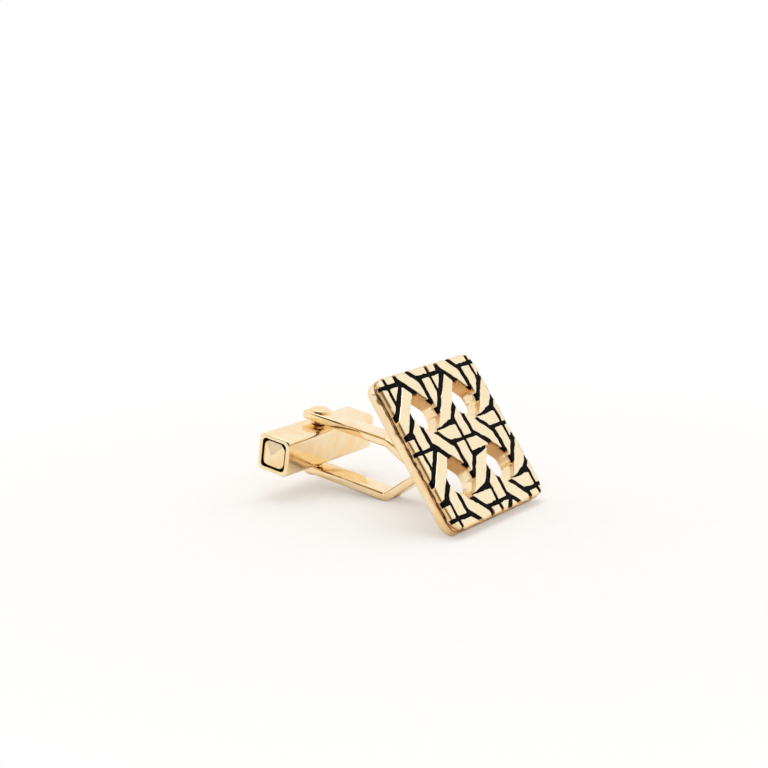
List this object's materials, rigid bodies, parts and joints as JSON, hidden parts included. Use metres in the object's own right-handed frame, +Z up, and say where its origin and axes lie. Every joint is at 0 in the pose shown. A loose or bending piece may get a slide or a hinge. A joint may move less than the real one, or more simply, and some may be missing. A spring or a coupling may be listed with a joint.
{
  "type": "swivel-bar cufflink",
  "caption": "Square cufflink with a pierced cane-weave face in polished gold and black enamel, a fork of bent arms, and a square swivel bar that turns to pass a cuff's buttonholes.",
  "frame": {"origin": "middle of the back of the plaque, on the face that bears on the cuff", "axes": "+X from the swivel bar towards the plaque, +Y along the bar at rest, +Z up as the cufflink lies on a table, on its plaque's lower back edge and the lower arm's bend"},
  "size_m": [0.0245, 0.016, 0.0139],
  "materials": {
    "polished_gold": "mirror-polished pale yellow gold",
    "cast_gold": "cast and buffed pale yellow gold with a fine speckle",
    "black_enamel": "glossy black enamel",
    "spring_steel": "bright spring steel"
  },
  "bodies": {
    "frame": {"plaque_base": "polished_gold", "cane_weave": "cast_gold", "black_enamel": "black_enamel", "lower_arm": "polished_gold", "upper_arm": "polished_gold", "pivot_rivet": "polished_gold", "upper_washer": "polished_gold", "lower_washer": "polished_gold"},
    "toggle": {"toggle_shell": "polished_gold", "toggle_cap_near": "polished_gold", "toggle_cap_far": "polished_gold", "groove_enamel_near": "black_enamel", "groove_enamel_far": "black_enamel", "detent_spring_front": "spring_steel", "detent_spring_rear": "spring_steel"}
  },
  "joints": [
    {"name": "toggle_swivel", "type": "hinge", "parent": "frame", "child": "toggle", "pos_m": [-0.01636, 0, -0.00175], "axis": [0.157, 0, 0.9876], "continuous": true}
  ]
}
